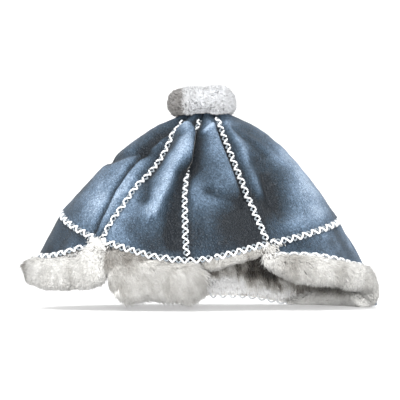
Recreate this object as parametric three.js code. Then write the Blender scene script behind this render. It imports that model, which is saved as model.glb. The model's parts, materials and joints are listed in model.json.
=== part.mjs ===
// A shearling trapper hat: eight leather gores laced into a bell-shaped crown, with a laced lower tier of
// two ear flaps, two neck panels, a fur bill and a fur roll, and a rolled fur topknot on its tie. Shearling
// is one hide with its wool left on: the leather faces out and the wool lines the hat.
// Millimetres, +Z up, the wearer's face towards -Y, origin on the ground under the middle of the crown.
import * as THREE from 'three';
import { mergeVertices } from 'three/addons/utils/BufferGeometryUtils.js';

// Driving dimensions.
const crown = {
  halfWidth: 137, halfDepth: 95, top: 197, topShift: 4, hole: 0.05, puff: 5,
  bow: 1.62, bowShift: 0.13, // how round its side is: 1 is a cone, 2 a dome, and it is rounder to the right
};
const hide = 8; // leather and pile together, pressed flat
const seamGap = 0.7;
const flare = { least: 0.06, most: 0.58, power: 1.5, tuck: 300 };
const hingeGap = 5.5; // bare lacing between a gore and the panel that swings from it
const cord = { thickness: 2.2, pitch: 9.6, halfWidth: 4, notch: 0.7, lift: 0.45 };
const seamStart = 0.27; // the lacing comes out from under the topknot
const seamEnd = 0.96;
const ground = 0;

// The seams run from the crown's top to its foot. Angles go round from +X, and a seam's foot is its height.
const seams = {
  right: { angle: 2, foot: 87 },
  backRight: { angle: 48, foot: 68 },
  back: { angle: 92, foot: 58 },
  backLeft: { angle: 137, foot: 70 },
  left: { angle: 180, foot: 95 },
  frontLeft: { angle: 228, foot: 65 },
  front: { angle: 265, foot: 46 },
  frontRight: { angle: 297, foot: 61 },
};
const ring = Object.values(seams);

const earFlap = {
  right: { from: 'frontRight', to: 'right', leather: [13, 43], trim: [24, 32] },
  left: { from: 'left', to: 'frontLeft', leather: [42, 7], trim: [26, 38] },
};
const trimThickness = 26;
const furStep = 9; // how far the fur stands out past the leather
const neck = { riseFrom: 95, riseTo: 150, rise: 34 };
const bill = { from: 231, to: 274, thickness: 19 };
const roll = { from: 275.5, to: 294.5, thickness: 17, height: 17 };
const topknot = {
  halfWidth: 35, halfDepth: 30, halfHeight: 16, middle: 204,
  dip: 6, dipWidth: 13,
  sit: 4.2, // clear of the gores' swell
};
const tie = { radius: 1.5, knot: 5, below: 14 };

const leather = new THREE.MeshStandardMaterial({ color: 0x6f93bd, roughness: 0.55, metalness: 0 });
const wool = new THREE.MeshStandardMaterial({ color: 0xddd9d2, roughness: 0.95, metalness: 0 });
const yarn = new THREE.MeshStandardMaterial({ color: 0xf2f3f5, roughness: 0.8, metalness: 0 });

const radians = THREE.MathUtils.degToRad;
const lerp = THREE.MathUtils.lerp;
const hat = new THREE.Group();

function add(name, geometry, material) {
  const mesh = new THREE.Mesh(geometry, material);
  mesh.name = name;
  hat.add(mesh);
}

// Height of the crown's foot at any angle: a smooth curve through the feet of the seams.
function footHeight(angle) {
  const a = ((angle - ring[0].angle) % 360 + 360) % 360 + ring[0].angle;
  const n = ring.length;
  const at = (i) => {
    const turns = Math.floor(i / n);
    const seam = ring[i - turns * n];
    return { angle: seam.angle + 360 * turns, foot: seam.foot };
  };
  let i = 0;
  while (at(i + 1).angle <= a) i += 1;
  const [before, low, high, after] = [at(i - 1), at(i), at(i + 1), at(i + 2)];
  const span = high.angle - low.angle;
  const t = (a - low.angle) / span;
  const slopeLow = (high.foot - before.foot) / (high.angle - before.angle) * span;
  const slopeHigh = (after.foot - low.foot) / (after.angle - low.angle) * span;
  const t2 = t * t;
  const t3 = t2 * t;
  return (2 * t3 - 3 * t2 + 1) * low.foot + (t3 - 2 * t2 + t) * slopeLow
    + (3 * t2 - 2 * t3) * high.foot + (t3 - t2) * slopeHigh;
}

// The front seams bow sideways between the crown's top and its foot.
const sways = [
  { angle: 228, reach: 15, shift: 8 },
  { angle: 265, reach: 12, shift: -7 },
  { angle: 297, reach: 13, shift: -4.5 },
];

function sway(angle, share) {
  const a = ((angle - ring[0].angle) % 360 + 360) % 360 + ring[0].angle;
  const along = Math.sin(Math.PI * THREE.MathUtils.clamp((share - 0.2) / 0.8, 0, 1));
  return along * sways.reduce((sum, s) => sum + s.shift * Math.exp(-(((a - s.angle) / s.reach) ** 2)), 0);
}

// How far the crown has fallen at an angle in radians: 0 at its top and 1 at its foot.
function fall(a, share) {
  return share ** (crown.bow + crown.bowShift * Math.cos(a));
}

// A point of the crown: share 0 is its top and 1 its foot, and depth is how far it lies under the leather.
function crownPoint(angle, share, depth = 0) {
  const a = radians(angle);
  const top = crown.top - depth;
  return new THREE.Vector3(
    (crown.halfWidth - depth) * share * Math.cos(a) + crown.topShift * (1 - share) + sway(angle, share),
    (crown.halfDepth - depth) * share * Math.sin(a),
    top - (top - footHeight(angle)) * fall(a, share),
  );
}

// The direction that the crown faces at that point.
function crownNormal(angle, share) {
  const along = crownPoint(angle + 0.5, share).sub(crownPoint(angle - 0.5, share));
  const down = crownPoint(angle, share + 0.01).sub(crownPoint(angle, share - 0.01));
  return down.cross(along).normalize();
}

// How far a gore swells out between its two seams.
function swell(angle, share) {
  const a = ((angle - ring[0].angle) % 360 + 360) % 360 + ring[0].angle;
  const next = ring.findIndex((seam) => seam.angle > a);
  const low = ring[(next === -1 ? ring.length : next) - 1].angle;
  const high = next === -1 ? ring[0].angle + 360 : ring[next].angle;
  const across = Math.sin(Math.PI * (a - low) / (high - low));
  return crown.puff * Math.max(0, across) * Math.sin(Math.PI * Math.min(1, share * 0.9));
}

// The horizontal direction out of the hat at an angle.
function outward(angle) {
  const a = radians(angle);
  return new THREE.Vector3(Math.cos(a) / crown.halfWidth, Math.sin(a) / crown.halfDepth, 0).normalize();
}

// A point of what hangs under the crown's foot: drop below the foot, and out past the leather's face.
function hangPoint(angle, drop, out = 0) {
  const lean = flare.least + flare.most * Math.abs(Math.cos(radians(angle))) ** flare.power;
  const splay = lean * drop * (1 - drop / flare.tuck);
  const point = crownPoint(angle, 1).addScaledVector(outward(angle), splay + out);
  point.z -= drop;
  return point;
}

// A closed body shaped from a box of cells. place(u, v, w) puts each corner: u round the hat, v up, w out.
function shapedBox(cellsRound, cellsUp, place) {
  const geometry = new THREE.BoxGeometry(1, 1, 1, cellsRound, cellsUp, 1).translate(0.5, 0.5, 0.5);
  return shaped(geometry, place);
}

function shaped(geometry, place) {
  const position = geometry.getAttribute('position');
  for (let i = 0; i < position.count; i += 1) {
    const point = place(position.getX(i), position.getY(i), position.getZ(i));
    position.setXYZ(i, point.x, point.y, point.z);
  }
  geometry.deleteAttribute('normal');
  geometry.deleteAttribute('uv');
  const merged = mergeVertices(geometry, 1e-4);
  merged.computeVertexNormals();
  return merged;
}

// A gore lies between two seams, from the hole at the top to the crown's foot.
function gore(fromSeam, toSeam) {
  const from = seams[fromSeam].angle;
  const to = seams[toSeam].angle > from ? seams[toSeam].angle : seams[toSeam].angle + 360;
  return shapedBox(6, 8, (u, v, w) => {
    const share = lerp(1, crown.hole, v);
    const reach = Math.min(crown.halfWidth, crown.halfDepth) * share;
    const inset = THREE.MathUtils.radToDeg(seamGap / 2 / reach);
    const angle = lerp(from + inset, to - inset, u);
    const point = crownPoint(angle, share, (1 - w) * hide);
    return point.addScaledVector(crownNormal(angle, share), w * swell(angle, share));
  });
}

// An ear flap's leather hangs from the crown's foot, a hinge's gap below it.
function flapLeather(side) {
  const { from, to, leather: drops } = earFlap[side];
  const [a, b] = [seams[from].angle, seams[to].angle];
  const end = b > a ? b : b + 360;
  return shapedBox(7, 4, (u, v, w) => {
    const lowest = lerp(drops[0], drops[1], u) + hingeGap;
    return hangPoint(lerp(a + 1.4, end - 1.4, u), lerp(lowest, hingeGap, v), (w - 1) * hide);
  });
}

// A plump strip of fur: place(u, out, up) puts a point of its rounded section at a share u of its length.
function furStrip(cellsRound, cellsAlong, place) {
  const geometry = new THREE.CylinderGeometry(1, 1, 1, cellsRound, cellsAlong).translate(0, 0.5, 0);
  const plump = (x) => Math.sign(x) * Math.abs(x) ** 0.75;
  return shaped(geometry, (out, u, up) => {
    const taper = Math.max(0.6, (1 - Math.abs(2 * u - 1) ** 10) ** 0.4);
    return place(u, plump(out) * taper, plump(up) * taper);
  });
}

function flapTrim(side) {
  const { from, to, leather: drops, trim } = earFlap[side];
  const [a, b] = [seams[from].angle, seams[to].angle];
  const end = b > a ? b : b + 360;
  return furStrip(10, 11, (u, out, up) => {
    const half = lerp(trim[0], trim[1], u) / 2;
    const drop = lerp(drops[0], drops[1], u) + hingeGap + 0.6 + half;
    const angle = lerp(a + 1.6, end - 1.6, u);
    const point = hangPoint(angle, drop - up * half, (out * trimThickness - hide) / 2);
    point.z = Math.max(point.z, ground + 2);
    return point;
  });
}

// A neck panel stands on the ground, and rises towards the left ear.
function neckPanel(from, to) {
  return shapedBox(8, 3, (u, v, w) => {
    const angle = lerp(from, to, u);
    const top = footHeight(angle) - seamGap;
    return hangPoint(angle, footHeight(angle) - lerp(neckLow(angle), top, v), (w - 1) * hide);
  });
}

function frontBill() {
  return furStrip(12, 11, (u, out, up) => {
    const angle = lerp(bill.from, bill.to, u);
    const drop = lerp(hingeGap, footHeight(angle) + 4, (1 - up) / 2);
    const point = hangPoint(angle, drop, (out * bill.thickness - hide) / 2);
    point.z = Math.max(point.z, ground);
    return point;
  });
}

function frontRoll() {
  return furStrip(9, 6, (u, out, up) => {
    const angle = lerp(roll.from, roll.to, u);
    const drop = seamGap + roll.height * (1 - up) / 2;
    return hangPoint(angle, drop, (out * roll.thickness - hide) / 2);
  });
}

// The topknot is a strip of shearling rolled into a loaf with a dip in its top.
function rolledTopknot() {
  const ball = new THREE.SphereGeometry(1, 18, 11).rotateX(Math.PI / 2);
  return shaped(ball, (x, y, z) => {
    const point = new THREE.Vector3(x * topknot.halfWidth + crown.topShift / 2, y * topknot.halfDepth, 0);
    const far = Math.hypot(x * topknot.halfWidth, y * topknot.halfDepth);
    const dip = z > 0 ? topknot.dip * Math.exp(-((far / topknot.dipWidth) ** 2)) : 0;
    const [right, back] = [(point.x - crown.topShift) / crown.halfWidth, point.y / crown.halfDepth];
    const lower = fall(Math.atan2(back, right), Math.hypot(right, back));
    const seat = crown.top - (crown.top - seams.left.foot) * lower + topknot.sit;
    point.z = Math.max(topknot.middle + topknot.halfHeight * z - dip, seat);
    return point;
  });
}

// The topknot's tie: a cord through the hole at the crown's top, with a knot inside the hat.
function topknotTie() {
  const low = crown.top - tie.below;
  const outline = [
    new THREE.Vector2(0, low - tie.knot),
    new THREE.Vector2(tie.knot * 0.8, low - tie.knot * 0.5),
    new THREE.Vector2(tie.knot * 0.8, low + tie.knot * 0.5),
    new THREE.Vector2(tie.radius, low + tie.knot),
    new THREE.Vector2(tie.radius, crown.top + topknot.sit - 1),
    new THREE.Vector2(0, crown.top + topknot.sit - 1),
  ];
  const turned = new THREE.LatheGeometry(outline, 10).rotateX(Math.PI / 2).translate(crown.topShift, 0, 0);
  return shaped(turned, (x, y, z) => new THREE.Vector3(x, y, z));
}

// A lacing: the outer shape of a crossed cord over a seam, a band with a notch between each two stitches.
// place(share, side, rise) gives a point at that share of the seam's length, side -1 to 1 across it, and
// rise above the hide.
function lacing(length, place) {
  const halfStitches = 2 * Math.round(length / cord.pitch);
  return shapedBox(halfStitches, 2, (u, v, w) => {
    const width = Math.round(u * halfStitches) % 2 ? 1 : cord.notch;
    return place(u, (2 * v - 1) * width, cord.lift + w * cord.thickness);
  });
}

function distance(place, steps = 12) {
  let total = 0;
  for (let i = 0; i < steps; i += 1) total += place(i / steps).distanceTo(place((i + 1) / steps));
  return total;
}

// A point above a gore's swollen leather.
function onCrown(angle, share, rise) {
  const raised = rise + swell(angle, share) * 1.1;
  return crownPoint(angle, share).addScaledVector(crownNormal(angle, share), raised);
}

function goreLacing(name) {
  const { angle } = seams[name];
  const middle = (s) => crownPoint(angle, lerp(seamStart, seamEnd, s));
  return lacing(distance(middle), (s, side, rise) => {
    const share = lerp(seamStart, seamEnd, s);
    const perDegree = crownPoint(angle - 0.5, share).distanceTo(crownPoint(angle + 0.5, share));
    return onCrown(angle + side * cord.halfWidth / perDegree, share, rise);
  });
}

// Lacing along the crown's foot, from the gores to what hangs there. Its lower stitches stand out by out.
function footLacing(from, to, gap = 0, out = 0) {
  const middle = (s) => hangPoint(lerp(from, to, s), 0);
  return lacing(distance(middle), (s, side, rise) => {
    const angle = lerp(from, to, s);
    const footRise = rise + swell(angle, 1) + cord.lift;
    if (side <= 0) return hangPoint(angle, -side * (cord.halfWidth + gap), footRise - side * out);
    const perShare = crownPoint(angle, 1).distanceTo(crownPoint(angle, 0.9)) * 10;
    return onCrown(angle, 1 - side * cord.halfWidth / perShare, rise);
  });
}

// Lacing along a line that hangs dropAt(share) below the foot. Its lower stitches stand out by lowOut.
function hangingLacing(from, to, dropAt, lowOut) {
  const middle = (s) => hangPoint(lerp(from, to, s), dropAt(s));
  return lacing(distance(middle), (s, side, rise) => {
    const out = rise + Math.max(0, -side) * lowOut;
    return hangPoint(lerp(from, to, s), dropAt(s) - side * cord.halfWidth, out);
  });
}

function furLacing(side) {
  const { from, to, leather: drops } = earFlap[side];
  const [a, b] = [seams[from].angle, seams[to].angle];
  const end = b > a ? b : b + 360;
  const inset = 3;
  return hangingLacing(a + inset, end - inset, (s) => hingeGap + lerp(drops[0], drops[1], s), furStep);
}

function neckLow(angle) {
  return ground + neck.rise * THREE.MathUtils.smoothstep(angle, neck.riseFrom, neck.riseTo);
}

function neckEdgeLacing(from, to) {
  const above = cord.halfWidth + 1;
  return hangingLacing(from, to, (s) => {
    const angle = lerp(from, to, s);
    return footHeight(angle) - neckLow(angle) - above;
  }, 0);
}

function neckSeamLacing() {
  const { angle, foot } = seams.back;
  const [start, end] = [5, foot - 12];
  return lacing(end - start, (s, side, rise) => {
    const drop = lerp(start, end, s);
    const perDegree = hangPoint(angle - 0.5, drop).distanceTo(hangPoint(angle + 0.5, drop));
    return hangPoint(angle + side * cord.halfWidth / perDegree, drop, rise);
  });
}

// The crown.
const order = Object.keys(seams);
const goreNames = [
  'side_right', 'back_right', 'back_left', 'side_left',
  'ear_left', 'front_left', 'front_right', 'ear_right',
];
goreNames.forEach((name, i) => {
  add(`gore_${name}`, gore(order[i], order[(i + 1) % order.length]), leather);
});
const lacingNames = [
  'right', 'back_right', 'back', 'back_left',
  'left', 'front_left', 'front', 'front_right',
];
lacingNames.forEach((name, i) => add(`lacing_${name}`, goreLacing(order[i]), yarn));

add('topknot', rolledTopknot(), wool);
add('topknot_tie', topknotTie(), yarn);

// The lower tier.
for (const side of ['right', 'left']) {
  add(`ear_flap_${side}`, flapLeather(side), leather);
  add(`ear_flap_fur_${side}`, flapTrim(side), wool);
}
add('neck_panel_right', neckPanel(4.5, 91.6), leather);
add('neck_panel_left', neckPanel(92.4, 177.5), leather);
add('front_bill', frontBill(), wool);
add('front_roll', frontRoll(), wool);

add('lacing_ear_flap_right', footLacing(299, 359, hingeGap), yarn);
add('lacing_ear_flap_left', footLacing(183, 227, hingeGap), yarn);
add('lacing_front_bill', footLacing(232, 273.5, hingeGap, 2), yarn);
add('lacing_front_roll', footLacing(276.5, 294, 0, 5), yarn);
add('lacing_neck_right', footLacing(6, 89.5), yarn);
add('lacing_neck_left', footLacing(94.5, 176), yarn);
for (const side of ['right', 'left']) add(`lacing_ear_fur_${side}`, furLacing(side), yarn);
add('lacing_neck_back', neckSeamLacing(), yarn);
add('lacing_neck_edge_right', neckEdgeLacing(6, 89.5), yarn);
add('lacing_neck_edge_left', neckEdgeLacing(94.5, 176), yarn);

export default hat;
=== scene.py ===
import json
import math

import bpy
import numpy as np
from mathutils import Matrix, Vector


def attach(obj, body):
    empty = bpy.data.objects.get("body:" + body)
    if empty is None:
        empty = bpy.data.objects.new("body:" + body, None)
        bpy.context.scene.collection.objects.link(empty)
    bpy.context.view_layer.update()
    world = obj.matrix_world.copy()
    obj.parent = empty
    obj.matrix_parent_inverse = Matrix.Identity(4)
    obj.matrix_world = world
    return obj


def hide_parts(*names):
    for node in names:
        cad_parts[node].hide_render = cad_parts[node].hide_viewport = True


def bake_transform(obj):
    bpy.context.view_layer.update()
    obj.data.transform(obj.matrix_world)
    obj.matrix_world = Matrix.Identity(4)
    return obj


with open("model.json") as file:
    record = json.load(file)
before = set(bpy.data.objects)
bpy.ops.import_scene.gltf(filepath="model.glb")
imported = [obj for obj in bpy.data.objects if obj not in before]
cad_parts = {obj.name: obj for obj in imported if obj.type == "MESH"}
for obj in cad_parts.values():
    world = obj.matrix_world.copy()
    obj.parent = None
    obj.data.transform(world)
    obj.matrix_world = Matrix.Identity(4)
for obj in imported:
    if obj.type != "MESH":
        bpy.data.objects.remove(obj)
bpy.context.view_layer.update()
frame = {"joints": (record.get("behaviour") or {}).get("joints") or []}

# A shearling trapper hat: blue nappa leather outside, clipped wool inside, white crossed lacing on its seams.
# Sizes are millimetres here and become metres when a mesh is made. The face looks towards -Y.

mm = 0.001
fullTurn = 360.0

crown = dict(halfWidth=137, halfDepth=95, top=197, topShift=4, hole=0.05, puff=5, bow=1.62, bowShift=0.13)
flare = dict(least=0.06, most=0.58, power=1.5, tuck=300)
hideDepth = 8  # leather and wool together
leatherDepth = 1.6
hingeGap = 5.5
seamNames = ["right", "backRight", "back", "backLeft", "left", "frontLeft", "front", "frontRight"]
seamAngle = dict(zip(seamNames, [2, 48, 92, 137, 180, 228, 265, 297]))
seamFoot = dict(zip(seamNames, [87, 68, 58, 70, 95, 65, 46, 61]))
ringAngle = np.array([seamAngle[n] for n in seamNames], float)
ringFoot = np.array([seamFoot[n] for n in seamNames], float)
seamRing = np.append(ringAngle, ringAngle[0] + fullTurn)  # all the way round to the first seam again


def unit(v):
    return v / np.maximum(np.linalg.norm(v, axis=-1, keepdims=True), 1e-12)


def wrapped(angle):
    return (np.asarray(angle, float) - ringAngle[0]) % fullTurn + ringAngle[0]


def footHeight(angle):
    # a smooth cubic through the feet of the seams
    a = wrapped(angle)
    angles = np.concatenate([ringAngle[-1:] - fullTurn, ringAngle, ringAngle[:2] + fullTurn])
    feet = np.concatenate([ringFoot[-1:], ringFoot, ringFoot[:2]])
    i = np.clip(np.searchsorted(angles, a, side="right") - 1, 1, len(ringAngle))
    span = angles[i + 1] - angles[i]
    t = (a - angles[i]) / span
    low = (feet[i + 1] - feet[i - 1]) / (angles[i + 1] - angles[i - 1]) * span
    high = (feet[i + 2] - feet[i]) / (angles[i + 2] - angles[i]) * span
    return (
        (2 * t**3 - 3 * t**2 + 1) * feet[i]
        + (t**3 - 2 * t**2 + t) * low
        + (3 * t**2 - 2 * t**3) * feet[i + 1]
        + (t**3 - t**2) * high
    )


# The front seams bow sideways between the crown's top and its foot: angle, reach in degrees and shift.
sways = [(228, 15, 8), (265, 12, -7), (297, 13, -4.5)]


def sway(angle, share):
    along = np.sin(np.pi * np.clip((np.asarray(share) - 0.2) / 0.8, 0, 1))
    a = wrapped(angle)
    return along * sum(shift * np.exp(-(((a - middle) / reach) ** 2)) for middle, reach, shift in sways)


def crownPoint(angle, share, depth=0.0):
    # an oval that shrinks upwards while the height falls as a power of the share, larger to the right
    a = np.radians(angle)
    top = crown["top"] - depth
    x = (crown["halfWidth"] - depth) * share * np.cos(a) + crown["topShift"] * (1 - share) + sway(angle, share)
    y = (crown["halfDepth"] - depth) * share * np.sin(a)
    fall = share ** (crown["bow"] + crown["bowShift"] * np.cos(a))
    z = top - (top - footHeight(angle)) * fall
    return np.stack(np.broadcast_arrays(x, y, z), -1)


def crownNormal(angle, share):
    along = crownPoint(angle + 0.5, share) - crownPoint(angle - 0.5, share)
    down = crownPoint(angle, share + 0.01) - crownPoint(angle, share - 0.01)
    return unit(np.cross(down, along))


def acrossGore(angle):
    # how far round its gore an angle lies, from 0 at the low seam to 1 at the high one, and the gore's degrees
    a = wrapped(angle)
    i = np.clip(np.searchsorted(seamRing, a, side="right") - 1, 0, len(ringAngle) - 1)
    span = seamRing[i + 1] - seamRing[i]
    return (a - seamRing[i]) / span, span


def swell(angle, share):
    # a gore bulges as a half wave from seam to seam, and as most of one from the top to the foot
    across = np.sin(np.pi * acrossGore(angle)[0])
    return crown["puff"] * np.maximum(0, across) * np.sin(np.pi * np.minimum(1, share * 0.9))


def outward(angle):
    # level, and square to the crown's oval
    a = np.radians(angle)
    flat = np.stack([np.cos(a) / crown["halfWidth"], np.sin(a) / crown["halfDepth"], np.zeros_like(a)], -1)
    return unit(flat)


def hangPoint(angle, drop, out=0.0):
    # what hangs from the crown's foot leans out, less and less as it drops
    angle, drop, out = np.broadcast_arrays(*(np.asarray(v, float) for v in (angle, drop, out)))
    lean = flare["least"] + flare["most"] * np.abs(np.cos(np.radians(angle))) ** flare["power"]
    splay = lean * drop * (1 - drop / flare["tuck"])
    point = crownPoint(angle, np.ones_like(angle)) + outward(angle) * (splay + out)[..., None]
    point[..., 2] -= drop
    return point


def folded(x, z, folds):
    # each fold is a bump along a line across the front, with its own slope on each side of the line;
    # returns the height out of the hat, the tone and the sideways push, summed over the folds
    height = np.zeros_like(x)
    tone = np.zeros_like(x)
    push = np.zeros_like(x)
    for fold in folds:
        path = np.array(fold["path"], float)
        best = np.full(x.shape, 1e9)
        side = np.zeros_like(x)
        for (ax, az), (bx, bz) in zip(path[:-1], path[1:]):
            length = math.hypot(bx - ax, bz - az)
            dx, dz = (bx - ax) / length, (bz - az) / length
            along = (x - ax) * dx + (z - az) * dz
            over = np.maximum(np.maximum(-along, along - length), 0)
            across = (x - ax) * -dz + (z - az) * dx
            distance = np.hypot(across, over)
            nearer = distance < best
            best = np.where(nearer, distance, best)
            side = np.where(nearer, across, side)
        width = np.where(side > 0, fold["right"], fold["left"])
        bump = np.exp(-((best / width) ** 2))
        height += fold.get("height", 0) * bump
        tone += fold.get("tone", 0) * bump
        push += fold.get("push", 0) * bump
    return height, tone, push


# Folds of the front, in millimetres across and up. A path runs downwards, and right is the +X side of it.
# A fold's tone is painted shade in its hollow and painted highlight on its ridge; some of the darkness in the
# folds is also the dye's.
frontFolds = [
    # the left ear gore: a crease and the bulge under it
    dict(path=[(-50, 150), (-67, 146), (-86, 141)], left=4, right=5, height=-4.5, tone=-0.5),
    dict(path=[(-64, 136), (-78, 110), (-100, 84)], left=22, right=12, height=4, tone=0.45),
    # beside the front left seam: a dark tuck and the crevice below it, both darkened with painted shade
    dict(path=[(-16, 180), (-38, 166), (-55, 151)], left=6, right=3, height=-5, tone=-1.1),
    dict(path=[(-53, 148), (-79, 110), (-97, 72)], left=2.2, right=1.4, height=-4, tone=-1.3),
    # the front left gore: ridges that lap over the middle seam, and the hollows beside them
    dict(
        path=[(-17, 172), (-18, 150), (-25, 129), (-33, 107), (-43, 88)], left=9, right=4, height=6, tone=0.8,
        push=3,
    ),
    dict(path=[(-13, 178), (-13, 158), (-15, 142)], left=7, right=3.5, height=4, tone=0.3, push=6),
    dict(path=[(-22, 163), (-37, 143), (-49, 122), (-51, 102)], left=6, right=5, height=-4.5, tone=-0.75),
    dict(path=[(-12, 138), (-19, 112), (-27, 88), (-24, 62)], left=7, right=8, height=-6, tone=-1.1),
    dict(path=[(-58, 112), (-69, 90), (-78, 76)], left=14, right=14, height=3, tone=0.45),
    # the front right gore: its ridge, and the hollows and creases round it
    dict(path=[(11, 172), (17, 151), (25, 129), (33, 107)], left=13, right=4, height=6.5, tone=0.4, push=1.5),
    dict(path=[(18, 172), (30, 140), (42, 107)], left=3.5, right=5, height=-6, tone=-1.1),
    dict(path=[(42, 103), (48, 88), (50, 62)], left=13, right=6, height=-5, tone=-1.1),
    dict(path=[(8, 109), (22, 103), (38, 97)], left=4, right=4, height=-3.5, tone=-0.6),
    dict(path=[(-4, 108), (6, 92), (10, 75)], left=10, right=12, height=3.5, tone=0.3),
    dict(path=[(-5, 180), (-6, 160), (-9, 133)], left=2, right=7, height=-5, tone=-1.2),
    dict(path=[(12, 171), (3, 166)], left=1.8, right=1.8, height=2.5, tone=0.9),  # a small sharp fold
    # the right ear gore, and the two at the sides
    dict(path=[(23, 178), (40, 151), (51, 127), (56, 108)], left=4, right=6, height=4, tone=0.6),
    dict(path=[(50, 138), (61, 120), (67, 100)], left=7, right=12, height=-5, tone=-0.8),
    dict(path=[(32, 172), (48, 159), (62, 146)], left=2.5, right=3, height=-2, tone=-0.4),
    dict(path=[(40, 175), (58, 160), (74, 146)], left=2.5, right=3, height=-1.5, tone=-0.25),
    dict(path=[(66, 166), (92, 140), (112, 110)], left=14, right=16, height=2, tone=0.35),
    dict(path=[(78, 78), (98, 82), (118, 91)], left=6, right=7, height=2.5, tone=0.4),
    dict(path=[(-62, 70), (-44, 58)], left=6, right=6, height=1.5, tone=-0.35),
]

# Folds of the back and the sides, in the same way, seen from the front; their tones too are painted shade in
# the hollows and painted highlight on the ridges, partly dye.
backFolds = [
    dict(path=[(-60, 160), (-72, 120), (-80, 90)], left=9, right=16, height=-4, tone=-0.6),
    dict(path=[(-30, 150), (-38, 110), (-46, 80)], left=12, right=10, height=4.5, tone=0.5),
    dict(path=[(-12, 160), (-8, 120), (-14, 84)], left=6, right=8, height=-4.5, tone=-0.8),
    dict(path=[(22, 165), (30, 130), (24, 92)], left=10, right=9, height=4, tone=0.5),
    dict(path=[(44, 150), (56, 120), (62, 92)], left=7, right=10, height=-4.5, tone=-0.7),
    dict(path=[(60, 128), (84, 118), (104, 108)], left=4, right=5, height=-3, tone=-0.4),
    dict(path=[(76, 150), (96, 122), (108, 98)], left=10, right=12, height=3, tone=0.4),
    dict(path=[(-92, 130), (-104, 112), (-120, 100)], left=5, right=6, height=-3, tone=-0.4),
]

# Broad changes of tone over the front, partly uneven dye and partly painted shade and painted light, in
# millimetres: middle across and up, reach across and up, and tone.
frontShades = [
    (32, 78, 26, 26, -1.3),  # the right front gore's foot
    (10, 128, 16, 14, -0.3),
    (-22, 66, 34, 20, -0.9),  # the left front gore's foot
    (-38, 84, 12, 12, 0.35),
    (66, 106, 14, 30, -0.6),
    (98, 120, 18, 26, 0.6),
    (76, 146, 16, 14, 0.45),
    (58, 92, 10, 10, -0.5),
    (-102, 100, 26, 16, 0.35),
    (-118, 118, 14, 12, -0.5),
    (-84, 152, 20, 9, -0.45),
    (-5, 158, 9, 22, -0.9),  # the gathered leather over the middle seam
    (60, 160, 26, 12, -0.25),
    (112, 82, 16, 8, 0.1),
    (-116, 93, 13, 11, -0.55),
    (-60, 64, 16, 9, 0.4),
    (18, 99, 12, 11, 0.45),
    (107, 97, 18, 12, 0.3),
]


def latticeNoise(points, size, seed):
    # random values on a lattice of that size, blended smoothly between its corners, from -1 to 1
    p = np.asarray(points, float) / size
    cell = np.floor(p).astype(np.int64)
    f = p - cell
    f = f * f * (3 - 2 * f)
    total = np.zeros(p.shape[:-1])
    for dx in (0, 1):
        for dy in (0, 1):
            for dz in (0, 1):
                n = (cell[..., 0] + dx) * 73856093 ^ (cell[..., 1] + dy) * 19349663
                n = n ^ (cell[..., 2] + dz) * 83492791 ^ seed * 668265263
                n = (n ^ (n >> 13)) * 1274126177 & 0x7FFFFFFF
                value = ((n ^ (n >> 15)) & 0xFFFF) / 32767.5 - 1
                weight = (
                    (f[..., 0] if dx else 1 - f[..., 0])
                    * (f[..., 1] if dy else 1 - f[..., 1])
                    * (f[..., 2] if dz else 1 - f[..., 2])
                )
                total += value * weight
    return total


def smooth(x, low, high):
    # 0 below low, 1 above high, and 3t^2 - 2t^3 between them
    t = np.clip((x - low) / (high - low), 0, 1)
    return t * t * (3 - 2 * t)


leatherLumps = [(34, 1.5, 3), (13, 0.7, 4), (5.5, 0.3, 6)]  # size, height and seed


def crownRelief(angle, share):
    # folds and soft lumps, fading out under the topknot and towards the laced foot
    base = crownPoint(angle, share)
    front = smooth(-base[..., 1], -12, 6)
    hf, tf, pf = folded(base[..., 0], base[..., 2], frontFolds)
    hb, tb = folded(base[..., 0], base[..., 2], backFolds)[:2]
    fade = smooth(share, 0.2, 0.34) * (1 - 0.75 * smooth(share, 0.93, 1.0))
    height = (hf * front + hb * (1 - front)) * fade
    shade = sum(
        tone * np.exp(-(((base[..., 0] - x) / rx) ** 2) - ((base[..., 2] - z) / rz) ** 2)
        for x, z, rx, rz, tone in frontShades
    )
    # the tone sums the folds' painted shade and highlight with the broad changes of tone over the front
    tone = ((tf + shade) * front + tb * (1 - front)) * smooth(share, 0.15, 0.25)
    for size, high, seed in leatherLumps:
        height += high * latticeNoise(base, size, seed) * fade
    return height, tone, pf * front * fade


def seamStretch(angle, share):
    # millimetres round the crown for each degree
    step = crownPoint(angle + 0.5, share) - crownPoint(angle - 0.5, share)
    return np.linalg.norm(step, axis=-1)


lacing = dict(
    pitch=10.8, halfWidth=2.7, radius=0.9, ply=0.14, twist=2.6, start=0.22, end=0.985, points=18, peak=0.95,
    crossing=1.5, tuck=0.9, wander=0.35, underCord=0.8,
)
# dark and darkWidth give the painted shade along each seam.
seamEdge = dict(
    groove=1.6, grooveWidth=2.2, pucker=0.35, puckerReach=4.5, ridge=1.3, ridgePlace=7.5, ridgeWidth=3.5,
    dark=0.55, darkWidth=5,
)
closedGores = dict(shift=3.4, place=3.8, width=4, sink=4.5)


def pinched(angle, share):
    # the two front gores close over the upper half of the middle seam: each side of it shifts by a smooth bump
    aside = (angle - seamAngle["front"]) * seamStretch(angle, share)
    bump = np.exp(-(((np.abs(aside) - closedGores["place"]) / closedGores["width"]) ** 2))
    bump = bump * smooth(np.abs(aside), 0, 2.5)
    closed = smooth(share, 0.3, 0.36) * (1 - smooth(share, 0.52, 0.64))
    return -np.sign(aside) * closedGores["shift"] * bump * closed


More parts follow.
